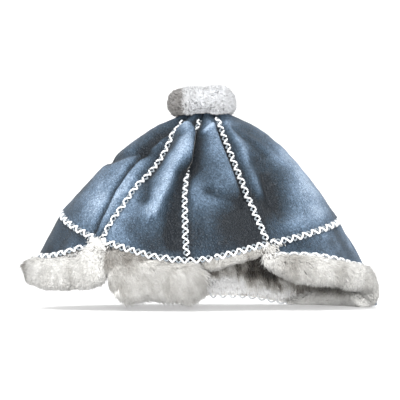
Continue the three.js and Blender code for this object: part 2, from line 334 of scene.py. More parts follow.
def crownSkin(angle, share):
    # the leather's outer face: the crown with its swell and relief, drawn in at the seams by the stitches
    height, tone, push = crownRelief(angle, share)
    where, span = acrossGore(angle)
    fromSeam = np.minimum(where, 1 - where) * span * seamStretch(angle, share)
    run = np.linalg.norm(crownPoint(angle, share) - crownPoint(angle, np.ones_like(share)), axis=-1)
    pucker = np.exp(-fromSeam / seamEdge["puckerReach"]) * np.cos(math.tau * run / lacing["pitch"])
    groove = seamEdge["groove"] * np.exp(-((fromSeam / seamEdge["grooveWidth"]) ** 2))
    height = height - groove + seamEdge["pucker"] * pucker
    ridge = seamEdge["ridge"] * np.exp(-(((fromSeam - seamEdge["ridgePlace"]) / seamEdge["ridgeWidth"]) ** 2))
    height = height + ridge * smooth(share, 0.25, 0.4)
    normal = crownNormal(angle, share)
    points = crownPoint(angle, share) + normal * (swell(angle, share) + height)[..., None]
    points[..., 0] += push * smooth(fromSeam, 0, 5) + pinched(angle, share)
    # painted shade darkens the leather along each seam, and the tone is painted lighter where the relief
    # stands out and darker where it sinks
    seamShade = seamEdge["dark"] * np.exp(-((fromSeam / seamEdge["darkWidth"]) ** 2))
    tone = tone - seamShade + 0.1 * np.tanh(height / 3)
    return points, normal, tone


def linear(hexColour):
    # an sRGB hex colour as linear light
    values = [int(hexColour[i : i + 2], 16) / 255 for i in (1, 3, 5)]
    return tuple(v / 12.92 if v <= 0.04045 else ((v + 0.055) / 1.055) ** 2.4 for v in values) + (1,)


def meshObject(name, points, faceSets, material, attributes=None):
    # points in millimetres; each face set is an array of corner numbers, one row for a face
    mesh = bpy.data.meshes.new(name)
    faceSets = [np.asarray(f, np.int32) for f in faceSets if len(f)]
    volume = sum(signedVolume(points, f) for f in faceSets)
    if volume < 0:
        faceSets = [f[:, ::-1] for f in faceSets]
    corners = np.concatenate([f.ravel() for f in faceSets])
    sizes = np.concatenate([np.full(len(f), f.shape[1], np.int32) for f in faceSets])
    mesh.vertices.add(len(points))
    mesh.vertices.foreach_set("co", (np.asarray(points, float) * mm).astype(np.float32).ravel())
    mesh.loops.add(len(corners))
    mesh.loops.foreach_set("vertex_index", corners)
    mesh.polygons.add(len(sizes))
    mesh.polygons.foreach_set("loop_start", np.concatenate([[0], np.cumsum(sizes)[:-1]]).astype(np.int32))
    mesh.polygons.foreach_set("use_smooth", np.ones(len(sizes), bool))
    mesh.update(calc_edges=True)
    mesh.validate()
    for key, values in (attributes or {}).items():
        layer = mesh.attributes.new(key, "FLOAT", "POINT")
        layer.data.foreach_set("value", np.asarray(values, np.float32).ravel())
    mesh.materials.append(material)
    piece = bpy.data.objects.new(name, mesh)
    bpy.context.scene.collection.objects.link(piece)
    return piece


def signedVolume(points, faces):
    # six times the volume within the faces: the sum of a . (b x c) over their triangles
    p = np.asarray(points, float)
    total = 0.0
    for k in range(1, faces.shape[1] - 1):
        a, b, c = p[faces[:, 0]], p[faces[:, k]], p[faces[:, k + 1]]
        total += np.einsum("ij,ij->i", a, np.cross(b, c)).sum()
    return total


def gridFaces(rows, columns, offset=0, closed=False):
    # four-cornered faces of a grid of points, rows by columns; closed joins its last column to its first
    i, j = np.meshgrid(np.arange(rows - 1), np.arange(columns if closed else columns - 1), indexing="ij")
    k = (j + 1) % columns
    a = i * columns + j
    b = i * columns + k
    return (np.stack([a, b, b + columns, a + columns], -1).reshape(-1, 4) + offset).astype(np.int32)


def tubeFaces(rows, columns, start=0):
    # a closed tube of rings, whose two end points come after its rings
    j = np.arange(columns, dtype=np.int32)
    k = (j + 1) % columns
    last = start + (rows - 1) * columns
    tip = np.full(columns, start + rows * columns)
    return [
        gridFaces(rows, columns, start, closed=True),
        np.stack([start + k, start + j, tip], -1),
        np.stack([last + j, last + k, tip + 1], -1),
    ]


def runAlong(path):
    # the length of a path up to each of its points
    return np.concatenate([[0], np.cumsum(np.linalg.norm(np.diff(path, axis=0), axis=1))])


def slab(name, outer, inner, material, tone=None):
    # a closed sheet between two grids of the same size
    rows, columns = outer.shape[:2]
    count = rows * columns
    front = gridFaces(rows, columns)
    back = gridFaces(rows, columns, count)[:, ::-1]
    index = np.arange(count).reshape(rows, columns)
    rim = np.concatenate([index[0, :-1], index[:-1, -1], index[-1, :0:-1], index[:0:-1, 0]])
    after = np.roll(rim, -1)
    wall = np.stack([after, rim, rim + count, after + count], -1)
    points = np.concatenate([outer.reshape(-1, 3), inner.reshape(-1, 3)])
    attributes = None
    if tone is not None:
        attributes = {"tone": np.concatenate([tone.ravel(), tone.ravel()])}
    return meshObject(name, points, [front, back, wall], material, attributes)


def tubes(name, paths, ups, radius, material, sides=10, ply=0.0, twist=1.0, tones=None):
    # round cords along paths of points. Ply and twist give a cord the two strands of a spun yarn: its radius
    # is multiplied by 1 + ply * cos(2 * turn + run / twist), with the run counted in whole turns
    points, sets, grey, start = [], [], [], 0
    turn = math.tau * np.arange(sides) / sides
    radii = radius if isinstance(radius, list) else [radius] * len(paths)
    for path, up, tone, thick in zip(paths, ups, tones or [1.0] * len(paths), radii):
        tangent = unit(np.gradient(path, axis=0))
        side = unit(np.cross(tangent, up))
        over = np.cross(side, tangent)
        size = thick * (1 + ply * np.cos(2 * turn[None, :] + math.tau * runAlong(path)[:, None] / twist))
        ring = side[:, None] * np.cos(turn)[None, :, None] + over[:, None] * np.sin(turn)[None, :, None]
        body = path[:, None] + ring * size[..., None]
        sets += tubeFaces(len(path), sides, start)
        points += [body.reshape(-1, 3), np.stack([path[0], path[-1]])]
        count = len(path) * sides + 2
        grey.append(np.full(count, tone))
        start += count
    return meshObject(name, np.concatenate(points), sets, material, {"tone": np.concatenate(grey)})


def crossLacing(name, centre, across, up, material, halfWidth=None, dip=0.0):
    # two cords that zigzag over a seam and cross between the holes; the first lies on top and is lighter, the
    # second is painted grey as shade under it
    wide = halfWidth or lacing["halfWidth"]
    run = runAlong(centre)
    stitches = max(2, round(run[-1] / lacing["pitch"]))
    s = np.linspace(0, run[-1], stitches * lacing["points"] + 1)
    mid, side, rise = (
        np.stack([np.interp(s, run, line[:, k]) for k in range(3)], -1) for line in (centre, across, up)
    )
    side, rise = unit(side), unit(rise)
    paths = []
    for phase, over in ((0, lacing["crossing"]), (math.pi, 0.0)):
        wave = math.tau * s / run[-1] * stitches + phase + 0.3
        zigzag = np.arcsin(lacing["peak"] * np.sin(wave)) / math.asin(lacing["peak"])
        crossing = 1 - zigzag**2
        lift = lacing["radius"] * (0.7 + crossing * over - lacing["tuck"] * zigzag**8) + dip
        wander = lacing["wander"] * latticeNoise(mid + phase * 40, 6, 8)
        paths.append(mid + side * (zigzag * wide + wander)[:, None] + rise * lift[:, None])
    radii = [lacing["radius"], lacing["radius"] * lacing["underCord"]]
    # the under cord's tone of 0.3 is painted shade
    return tubes(
        name, paths, [rise, rise], radii, material, ply=lacing["ply"], twist=lacing["twist"], tones=[1.0, 0.3]
    )


def node(tree, kind, settings=None, **inputs):
    # adds a shader node; an input given as (node, output) is linked, and anything else is its value
    made = tree.nodes.new(kind)
    for key, value in (settings or {}).items():
        setattr(made, key, value)
    for key, value in inputs.items():
        socket = made.inputs[int(key[1:])] if key[0] == "i" and key[1:].isdigit() else made.inputs[key]
        if isinstance(value, tuple) and len(value) == 2 and hasattr(value[0], "outputs"):
            tree.links.new(value[0].outputs[value[1]], socket)
        else:
            socket.default_value = value
    return made


def newMaterial(name):
    material = bpy.data.materials.new(name)
    material.use_nodes = True
    tree = material.node_tree
    tree.nodes.clear()
    shader = node(tree, "ShaderNodeBsdfPrincipled")
    output = node(tree, "ShaderNodeOutputMaterial")
    tree.links.new(shader.outputs[0], output.inputs[0])
    return material, tree, shader


def setRamp(ramp, stops):
    band = ramp.color_ramp
    while len(band.elements) > len(stops):
        band.elements.remove(band.elements[-1])
    while len(band.elements) < len(stops):
        band.elements.new(1)
    for element, (place, colour) in zip(band.elements, stops):
        element.position = place
        element.color = linear(colour)


def makeNappaLeather():
    # Blue nappa: sheepskin with a thin sprayed finish. The finish gives a soft satin sheen, the dye sits
    # unevenly and a little darker where the hide was folded, the tone attribute paints shade into the folds'
    # hollows and along the seams and a highlight onto the ridges, and the grain is a fine pebble of a
    # millimetre or two.
    # the ramp's hollow end is reached where the painted shade is deepest, its ridge end where the painted
    # highlight is strongest
    look = dict(
        hollow="#0b141c", dark="#1a2935", middle="#334454", light="#5b6f84", ridge="#98aabf",
        cloud=18, speck=2.1, grain=2.4, wrinkle=7, roughness=0.56, wrinkleDepth=1.8, grainDepth=1.0,
    )
    material, tree, shader = newMaterial("blueNappaLeather")
    place = node(tree, "ShaderNodeTexCoord")
    tone = node(tree, "ShaderNodeAttribute", dict(attribute_name="tone"))
    cloud, speck, wrinkle = (
        node(
            tree, "ShaderNodeTexNoise", Vector=(place, "Object"), Scale=1 / (look[size] * mm), Detail=detail,
            Roughness=rough, Distortion=bend,
        )
        for size, detail, rough, bend in (
            ("cloud", 3.0, 0.55, 0.0), ("speck", 2.0, 0.7, 0.0), ("wrinkle", 3.0, 0.6, 1.2),
        )
    )
    # tone, cloud and speck are added up about the middle of the ramp; the tone carries the painted shade and
    # highlight
    toneShare = node(tree, "ShaderNodeMath", dict(operation="MULTIPLY_ADD"), i0=(tone, "Fac"), i1=0.36, i2=0.5)
    cloudShare = node(tree, "ShaderNodeMath", dict(operation="MULTIPLY_ADD"), i0=(cloud, 0), i1=0.34, i2=-0.17)
    speckShare = node(tree, "ShaderNodeMath", dict(operation="MULTIPLY_ADD"), i0=(speck, 0), i1=0.5, i2=-0.25)
    both = node(tree, "ShaderNodeMath", dict(operation="ADD"), i0=(toneShare, 0), i1=(cloudShare, 0))
    mixed = node(tree, "ShaderNodeMath", dict(operation="ADD"), i0=(both, 0), i1=(speckShare, 0))
    ramp = node(tree, "ShaderNodeValToRGB", Fac=(mixed, 0))
    colours = [look[name] for name in ("hollow", "dark", "middle", "light", "ridge")]
    setRamp(ramp, list(zip((0.1, 0.3, 0.5, 0.68, 0.9), colours)))
    tree.links.new(ramp.outputs[0], shader.inputs["Base Color"])
    grain = node(
        tree, "ShaderNodeTexVoronoi", dict(feature="DISTANCE_TO_EDGE"), Vector=(place, "Object"),
        Scale=1 / (look["grain"] * mm),
    )
    cells = node(tree, "ShaderNodeMapRange", Value=(grain, 0), i2=0.25)
    fine = node(tree, "ShaderNodeMath", dict(operation="MULTIPLY_ADD"), i0=(speck, 0), i1=0.9, i2=(cells, 0))
    soft = node(tree, "ShaderNodeBump", Strength=0.45, Distance=look["wrinkleDepth"] * mm, Height=(wrinkle, 0))
    bump = node(
        tree, "ShaderNodeBump", Strength=0.9, Distance=look["grainDepth"] * mm, Height=(fine, 0),
        Normal=(soft, 0),
    )
    tree.links.new(bump.outputs[0], shader.inputs["Normal"])
    least, most = look["roughness"] - 0.08, look["roughness"] + 0.12
    worn = node(tree, "ShaderNodeMapRange", Value=(cloud, 0), i3=least, i4=most)
    tree.links.new(worn.outputs[0], shader.inputs["Roughness"])
    shader.inputs["IOR"].default_value = 1.45
    return material


woolFibre = dict(lock=9, fibre=1.1, depth=0.8, roughness=0.92, sheen=0.35)


def makeWool(name, colours):
    # Shearling wool: dense crimped fibres, clipped to one length. It scatters light, has no gloss, is painted
    # grey-brown as shade where the pile is deep and shadowed, and clumps into locks a few millimetres wide.
    material, tree, shader = newMaterial(name)
    place = node(tree, "ShaderNodeTexCoord")
    tip = node(tree, "ShaderNodeAttribute", dict(attribute_name="tone"))
    clump, strand = (
        node(
            tree, "ShaderNodeTexNoise", Vector=(place, "Object"), Scale=1 / (woolFibre[size] * mm),
            Detail=detail, Roughness=0.6,
        )
        for size, detail in (("lock", 3.0), ("fibre", 2.0))
    )
    addUp = dict(operation="MULTIPLY_ADD")
    shade = node(tree, "ShaderNodeMath", addUp, i0=(clump, 0), i1=0.5, i2=-0.25)
    fleck = node(tree, "ShaderNodeMath", addUp, i0=(strand, 0), i1=0.35, i2=(shade, 0))
    whole = node(tree, "ShaderNodeMath", dict(operation="ADD"), i0=(tip, "Fac"), i1=(fleck, 0))
    ramp = node(tree, "ShaderNodeValToRGB", Fac=(whole, 0))
    setRamp(ramp, list(zip((0.0, 0.35, 0.7, 1.0), colours)))
    tree.links.new(ramp.outputs[0], shader.inputs["Base Color"])
    bump = node(tree, "ShaderNodeBump", Strength=0.7, Distance=woolFibre["depth"] * mm, Height=(strand, 0))
    tree.links.new(bump.outputs[0], shader.inputs["Normal"])
    shader.inputs["Roughness"].default_value = woolFibre["roughness"]
    shader.inputs["Specular IOR Level"].default_value = 0.2
    shader.inputs["Sheen Weight"].default_value = woolFibre["sheen"]
    shader.inputs["Sheen Roughness"].default_value = 0.5
    return material


def makeYarn():
    # Thick acrylic yarn, spun of two plies: nearly white and matt, with a faint grey in the grooves between,
    # and painted grey as shade where a cord lies under another.
    look = dict(fuzz=0.7, fuzzDepth=0.3, roughness=0.85)
    material, tree, shader = newMaterial("whiteLacingYarn")
    place = node(tree, "ShaderNodeTexCoord")
    fuzz = node(
        tree, "ShaderNodeTexNoise", Vector=(place, "Object"), Scale=1 / (look["fuzz"] * mm), Detail=2.0,
        Roughness=0.6,
    )
    tone = node(tree, "ShaderNodeAttribute", dict(attribute_name="tone"))
    addUp = dict(operation="MULTIPLY_ADD")
    both = node(tree, "ShaderNodeMath", addUp, i0=(fuzz, 0), i1=0.4, i2=-0.3)
    whole = node(tree, "ShaderNodeMath", addUp, i0=(tone, "Fac"), i1=0.75, i2=(both, 0))
    # the ramp's grey end is the under cords' painted shade
    ramp = node(tree, "ShaderNodeValToRGB", Fac=(whole, 0))
    setRamp(ramp, [(0.3, "#7f868c"), (0.62, "#cdd0d3"), (0.85, "#f8f8f7")])
    tree.links.new(ramp.outputs[0], shader.inputs["Base Color"])
    bump = node(tree, "ShaderNodeBump", Strength=0.5, Distance=look["fuzzDepth"] * mm, Height=(fuzz, 0))
    tree.links.new(bump.outputs[0], shader.inputs["Normal"])
    shader.inputs["Roughness"].default_value = look["roughness"]
    shader.inputs["Specular IOR Level"].default_value = 0.25
    shader.inputs["Sheen Weight"].default_value = 0.2
    return material


leatherLook = makeNappaLeather()
woolLook = makeWool("clippedWool", ["#4a443d", "#86827c", "#b3b1ad", "#d8d7d4"])
knotLook = makeWool("rolledWool", ["#4d4742", "#8b8987", "#bcbdbf", "#e2e4e8"])
# the lining's wool is a brighter copy of the same wool, painted light that stands in for light inside the
# crown
liningLook = makeWool("deepWool", ["#3a352f", "#98928a", "#e6e4e0", "#ffffff"])
yarnLook = makeYarn()
print("materials made")


# Leather and lining of the crown.
goreNames = [
    "side_right", "back_right", "back_left", "side_left", "ear_left", "front_left", "front_right", "ear_right",
]
gore = dict(
    along=104, across=62, woolAlong=70, woolAcross=44, crowding=0.07, gap=0.35, woolCell=7.0, woolLump=1.3,
    woolLeast=5.5, seamDark=1.5, seamDarkWidth=7,
)


def goreGrid(index, rows, columns, low=crown["hole"] + 0.01):
    # angles and shares of a gore's grid, whose columns stand closer together beside the seams
    first, last = seamRing[index], seamRing[index + 1]
    share = np.linspace(low, 1.0, rows)[:, None] * np.ones((1, columns))
    u = np.linspace(0, 1, columns)
    u = u - gore["crowding"] * np.sin(math.tau * u)
    inset = np.degrees(gore["gap"] / 2 / (crown["halfDepth"] * share))
    return (first + inset) * (1 - u) + (last - inset) * u, share


def camelCase(name):
    # a CAD node's name as a name here: gore_ear_left is goreEarLeft
    words = name.split("_")
    return words[0] + "".join(w.capitalize() for w in words[1:])


def liningFace(angle, share, outer, normal):
    # the wool's inner face, pushed further in where a fold of the leather comes in
    base = crownPoint(angle, share)
    height = ((outer - base) * normal).sum(-1)
    depth = np.maximum(hideDepth, gore["woolLeast"] - height)
    depth = depth + gore["woolLump"] * latticeNoise(base, gore["woolCell"], 21)
    return base - normal * depth[..., None]


for index, goreName in enumerate(goreNames):
    angle, share = goreGrid(index, gore["along"], gore["across"])
    outer, normal, tone = crownSkin(angle, share)
    inner = outer - normal * leatherDepth
    piece = slab(camelCase("gore_" + goreName) + "Leather", outer, inner, leatherLook, tone)
    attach(piece, "crown")
    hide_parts("gore_" + goreName)
    angle, share = goreGrid(index, gore["woolAlong"], gore["woolAcross"])
    outer, normal, tone = crownSkin(angle, share)
    # the lining stays clear of the leather's folds and comes close to it at the seams
    under = 0.3 + 1.1 * np.sin(np.pi * np.linspace(0, 1, gore["woolAcross"])) ** 0.5
    top = outer - normal * (leatherDepth + under)[None, :, None]
    low = liningFace(angle, share, outer, normal)
    toFront = (angle - seamAngle["front"]) * seamStretch(angle, share)
    # painted shadow darkens the lining's top where it shows in the closed front seam
    shadow = gore["seamDark"] * np.exp(-((toFront / gore["seamDarkWidth"]) ** 2))  # within the closed seam
    tone = 0.35 + 0.25 * latticeNoise(low, 5, 5) - shadow
    lining = slab(camelCase("gore_" + goreName) + "Wool", top, low, liningLook, tone)
    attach(lining, "crown")
print("crown made")


# Lacing of the crown's seams. It starts under the topknot and lies on the leather's folds.
def seamLine(angle, low, high, count=160):
    share = np.linspace(low, high, count)
    angles = np.full(count, float(angle))
    height = crownRelief(angles, share)[0]
    if angle == seamAngle["front"]:  # it runs under the closed gores
        height = height - closedGores["sink"] * smooth(share, 0.27, 0.33) * (1 - smooth(share, 0.55, 0.62))
    normal = crownNormal(angles, share)
    return crownPoint(angles, share) + normal * (height - 0.6)[:, None], normal


def laceSeam(name, cadName, centre, across, up, body="crown", **more):
    piece = crossLacing(name, centre, across, up, yarnLook, **more)
    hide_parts(cadName)
    if body:
        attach(piece, body)
    return piece


for seam in seamNames:
    centre, normal = seamLine(seamAngle[seam], lacing["start"], lacing["end"])
    across = unit(np.cross(np.gradient(centre, axis=0), normal))
    cadName = "lacing_" + "".join("_" + c.lower() if c.isupper() else c for c in seam)
    laceSeam(camelCase(cadName), cadName, centre, across, normal)
print("seams laced")


def footSwell(angle):
    # how far the leather stands out of the crown's plain shape at its foot
    one = np.ones_like(angle)
    return swell(angle, one) + crownRelief(angle, one)[0]


def footLine(low, high, count=200):
    # the crown's laced foot, and the way that is up the crown and away from it there
    angle = np.linspace(low, high, count)
    share = np.ones(count)
    away = outward(angle)
    centre = crownPoint(angle, share) + away * (footSwell(angle) + 0.2)[:, None]
    upward = unit(crownPoint(angle, share * 0.97) - crownPoint(angle, share))
    return centre, upward, unit(away + np.array([0, 0, 0.12]))


def meshNormals(points, faceSets):
    # each corner's normal is the sum of the normals of the faces that meet there
    total = np.zeros_like(points)
    for f in faceSets:
        a, b, c = points[f[:, 0]], points[f[:, 1]], points[f[:, 2]]
        n = np.cross(b - a, c - a)
        for k in range(f.shape[1]):
            np.add.at(total, f[:, k], n)
    return unit(total)


def scattered(points, faceSets, count, seed):
    # random places on a surface, evenly by area, with the normal at each
    rng = np.random.default_rng(seed)
    normals = meshNormals(points, faceSets)
    triangles = []
    for f in faceSets:
        triangles += [f[:, [0, k, k + 1]] for k in range(1, f.shape[1] - 1)]
    t = np.concatenate(triangles)
    a, b, c = points[t[:, 0]], points[t[:, 1]], points[t[:, 2]]
    area = np.linalg.norm(np.cross(b - a, c - a), axis=1)
    pick = t[rng.choice(len(t), count, p=area / area.sum())]
    a, b = rng.random(count), rng.random(count)
    over = a + b > 1
    a[over], b[over] = 1 - a[over], 1 - b[over]
    share = np.stack([1 - a - b, a, b], -1)[..., None]
    return (points[pick] * share).sum(1), unit((normals[pick] * share).sum(1))


def streaks(points, comb, seed, width=2.2, stretch=7):
    # a noise drawn out along the way that the wool is combed
    along = unit(comb)
    squeezed = points - along * (points * along).sum(-1, keepdims=True) * (1 - 1 / stretch)
    return latticeNoise(squeezed, width, seed) + 0.6 * latticeNoise(squeezed, width * 2.3, seed + 1)


def pile(name, roots, normals, comb, look, seed, material, body, shade=None):
    # wool locks: three-sided cones that stand out of the hide, bend over the way the wool is combed and gather
    # in clumps. A lock's tip is root + length * (normal * rise + lean * bend), and its middle stands up more
    rng = np.random.default_rng(seed)
    count = len(roots)
    wander = np.stack([latticeNoise(roots, look["clump"], seed + k) for k in (1, 2, 3)], -1)
    lean = comb + wander * look["curl"] + rng.normal(0, look["stray"], (count, 3))
    lean = unit(lean - normals * (lean * normals).sum(-1, keepdims=True))
    length = look["length"] * (0.75 + 0.4 * rng.random(count))[:, None]
    length = length * (1 + 0.2 * latticeNoise(roots, look["clump"] * 1.7, seed + 9))[:, None]
    middle = roots + length * (normals * look["rise"] * 0.65 + lean * look["bend"] * 0.35)
    tip = roots + length * (normals * look["rise"] + lean * look["bend"])
    first = unit(np.cross(normals, lean))
    rings = []
    for centre, ahead, width in (
        (roots - normals * 0.6, normals, look["width"]),
        (middle, unit(tip - roots), look["width"] * 0.82),
    ):
        second = np.cross(ahead, first)
        for k in range(3):
            turn = math.tau * k / 3
            rings.append(centre + (first * math.cos(turn) + second * math.sin(turn)) * width)
    points = np.stack(rings + [tip], 1)
    points[..., 2] = np.maximum(points[..., 2], 0.25)  # above the floor
    base = np.arange(count, dtype=np.int32)[:, None] * 7
    quads = [base + np.array([[k, (k + 1) % 3, 3 + (k + 1) % 3, 3 + k]]) for k in range(3)]
    caps = [base + np.array([[3 + k, 3 + (k + 1) % 3, 6]]) for k in range(3)] + [base + np.array([[2, 1, 0]])]
    grey = look["tone"] + 0.08 * latticeNoise(roots, look["clump"] * 2.5, seed + 4)
    grey = grey + rng.normal(0, 0.03, count) + look["streak"] * streaks(roots, comb, seed + 5)
    if shade is not None:
        grey = grey + shade(roots)
    # the roots are painted darker as shade deep in the pile, and the tips are a little lighter
    tone = np.stack([grey - 0.16] * 3 + [grey] * 3 + [grey + 0.08], 1)
    sets = [np.concatenate(quads), np.concatenate(caps)]
    piece = meshObject(name, points.reshape(-1, 3), sets, material, {"tone": tone})
    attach(piece, body)
    return piece


def meshPoints(mesh):
    flat = np.empty(len(mesh.vertices) * 3)
    mesh.vertices.foreach_get("co", flat)
    return flat.reshape(-1, 3) / mm


puff = dict(frames=20, pressure=4, quality=4, fill=0.8)


def puffed(points, faceSets, cap, voxel):
    # blows a closed pad up with cloth pressure, no point moving more than cap; gives new points and faces
    cut = meshObject("cutPad", points, faceSets, woolLook)
    remesh = cut.modifiers.new("remesh", "REMESH")
    remesh.mode = "VOXEL"
    remesh.voxel_size = voxel * mm
    bpy.context.view_layer.update()
    even = bpy.data.meshes.new_from_object(cut.evaluated_get(bpy.context.evaluated_depsgraph_get()))
    cut.modifiers.clear()
    cut.data = even
    before = meshPoints(even)
    faces = np.array([p.vertices[:] for p in even.polygons if len(p.vertices) == 4], np.int32)
    after = before.copy()
    cloth = cut.modifiers.new("cloth", "CLOTH")
    cloth.settings.use_pressure = True
    cloth.settings.uniform_pressure_force = puff["pressure"]
    cloth.settings.effector_weights.gravity = 0
    cloth.settings.quality = puff["quality"]
    for frameNumber in range(1, puff["frames"] + 1):
        bpy.context.scene.frame_set(frameNumber)
    after = meshPoints(cut.evaluated_get(bpy.context.evaluated_depsgraph_get()).data)
    bpy.context.scene.frame_set(1)
    moved = after - before
    size = np.linalg.norm(moved, axis=1, keepdims=True)
    after = before + moved * np.minimum(1, cap / np.maximum(size, 1e-9))
    bpy.data.objects.remove(cut)
    return after, faces


def loft(rows, columns, place):
    # a closed strip: place(u, turn) gives the points of its rounded section at a share u of its length
    u, turn = np.meshgrid(np.linspace(0, 1, rows), math.tau * np.arange(columns) / columns, indexing="ij")
    body = place(u, turn)
    ends = np.stack([body[0].mean(0), body[-1].mean(0)])
    return np.concatenate([body.reshape(-1, 3), ends]), tubeFaces(rows, columns)


def superRound(turn, power):
    # a circle whose sine and cosine are raised to a power: squarer as the power falls below 1
    c, s = np.cos(turn), np.sin(turn)
    return np.sign(c) * np.abs(c) ** power, np.sign(s) * np.abs(s) ** power


def furPad(
    name, cadName, body, form, look, comb, count, seed, cap=2.5, shade=None, voxel=5.0, finish=woolLook
):
    # a shearling pad: its cut shape, blown up, made lumpy, and covered in locks
    points, faces = puffed(*form, cap, voxel)
    normals = meshNormals(points, [faces])
    points = points + normals * (look["lump"] * latticeNoise(points, look["lumpSize"], seed))[:, None]
    points[:, 2] = np.maximum(points[:, 2], 0.6)
    # the pad under the locks is painted a little darker, as shade beneath the pile
    grey = look["tone"] - 0.1 + 0.15 * latticeNoise(points, 8, seed + 1)
    if shade is not None:
        grey = grey + shade(points)
    pad = meshObject(name, points, [faces], finish, {"tone": grey})
    soften = pad.modifiers.new("soften", "SUBSURF")
    soften.levels = soften.render_levels = 1
    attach(pad, body)
    if cadName:
        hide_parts(cadName)
    roots, out = scattered(points, [faces], count, seed)
    pile(name + "Pile", roots, out, comb(roots), look, seed + 30, finish, body, shade=shade)


def combedDown(points, sideways=0.0):
    # the way wool lies on a hanging panel: down, and a little to one side
    flat = np.zeros_like(points)
    flat[:, 0] = sideways
    flat[:, 2] = -1
    return flat


def grid(rows, columns):
    # shares from 0 to 1 across and down a grid
    return np.meshgrid(np.linspace(0, 1, columns), np.linspace(0, 1, rows))


# The lower tier: ear flaps, their fur, the bill, the roll and the neck panels.
earFlap = dict(
    right=dict(low=297, high=362, leather=(13, 43), halfStitch=1.6, dip=-0.6),
    left=dict(low=180, high=228, leather=(42, 7), halfStitch=2.4, dip=0.8),
)
flapGrid = dict(rows=46, columns=64, inset=1.2, woolInset=3.2, wool=3.4)
neck = dict(
    riseFrom=95, riseTo=150, rise=34, edge=2.4, lift=7, liftStart=(48, 72), liftEnd=(100, 130),
    spans=dict(right=(2.5, 91.7), left=(92.3, 179.5)), laced=dict(right=(2.5, 90.5), left=(93.5, 179)),
    edgeLaced=dict(right=(4, 90.5), left=(93.5, 178)), locks=15000, hem=7,
)
bill = dict(low=231, high=274, thickness=19, middle=252, laced=(228.6, 274.5))
roll = dict(low=275.5, high=294.5, thickness=17, laced=(275.5, 296.5))
topknot = dict(halfWidth=35, halfDepth=30, halfHeight=16, middle=204, dip=4.2, grooveAt=-18, shift=2)
shortPile = dict(
    length=5.5, width=0.55, clump=5.0, curl=0.45, stray=0.3, rise=0.7, bend=0.5, tone=0.66, lump=1.0,
    lumpSize=9, streak=0.06,
)
longPile = dict(
    length=8.5, width=0.6, clump=9.0, curl=0.25, stray=0.2, rise=0.45, bend=0.85, tone=0.68, lump=1.0,
    lumpSize=13, streak=0.13,
)
billPile = dict(
    longPile, length=12, rise=0.38, bend=0.95, streak=0.2, stray=0.22, curl=0.12, lump=0.25, width=0.48,
)
neckPile = dict(longPile, streak=0.3, curl=0.15)
rollPile = dict(shortPile, tone=0.5, rise=0.55, bend=0.7, streak=0.2)


def lerp(a, b, t):
    return a + (b - a) * t


def ovalAngle(points):
    # the crown angle that points lie at
    return np.degrees(np.arctan2(points[:, 1] / crown["halfDepth"], points[:, 0] / crown["halfWidth"]))


def leatherDrop(side, u):
    # the laced lower edge of a flap's leather; both climb early towards the front
    drop = lerp(*earFlap[side]["leather"], u) + hingeGap
    if side == "left":
        return drop + 3 * np.exp(-(((u - 0.4) / 0.2) ** 2)) - 5 * np.exp(-(((u - 0.88) / 0.16) ** 2))
    return drop - 9 * (1 - smooth(u, 0.2, 0.75)) + 4 * smooth(u, 0.75, 1)


def hingeCrossing(jointName, angle, start=1.0, reach=11):
    # where leather starts and stops turning with a flap: square to the hinge's axis, just under the seam
    joint = next(j for j in frame["joints"] if j["name"] == jointName)
    axis = unit(np.array(joint["axis"], float))
    down = unit(np.cross(axis, outward(np.array(float(angle)))))
    down = down if down[2] < 0 else -down
    first = hangPoint(np.array(float(angle)), start)
    return tuple(first * mm), tuple((first + down * reach) * mm)


def hangingSkin(angle, drop, waves, seed):
    # leather below the foot: it starts level with the gores' edge and goes into soft waves
    base = hangPoint(angle, drop)
    out = footSwell(angle) * np.exp(-drop / 18) - 1.2 * np.exp(-((drop / 2.4) ** 2))
    out = out + waves(angle, drop) + 1.1 * latticeNoise(base, 22, seed) * smooth(drop, 3, 12)
    return hangPoint(angle, drop, out), unit(outward(angle) + np.array([0, 0, 0.1]))


# Waves of the flaps' leather: middle and reach in degrees, and height.
waveList = dict(right=[(322, 9, 2.2), (340, 7, -1.6)], left=[(202, 7, -2.0), (216, 6, 1.6)])


def flapWaves(side):
    return lambda angle, drop: sum(
        height * np.exp(-(((angle - middle) / reach) ** 2)) for middle, reach, height in waveList[side]
    )


def flapTone(side, angle, drop, points):
    # painted shade just under the seam, clouded, and painted light where a flap's wave faces the key light
    tone = 0.28 * latticeNoise(points, 12, 31) - 0.9 * np.exp(-((drop / 3.2) ** 2))
    if side == "right":
        return tone - 0.1 + 0.3 * np.exp(-(((angle - 325) / 10) ** 2)) + 0.5 * smooth(angle, 336, 350)
    return tone - 0.45 + 0.55 * np.exp(-(((angle - 214) / 8) ** 2)) * smooth(drop, 2, 22)


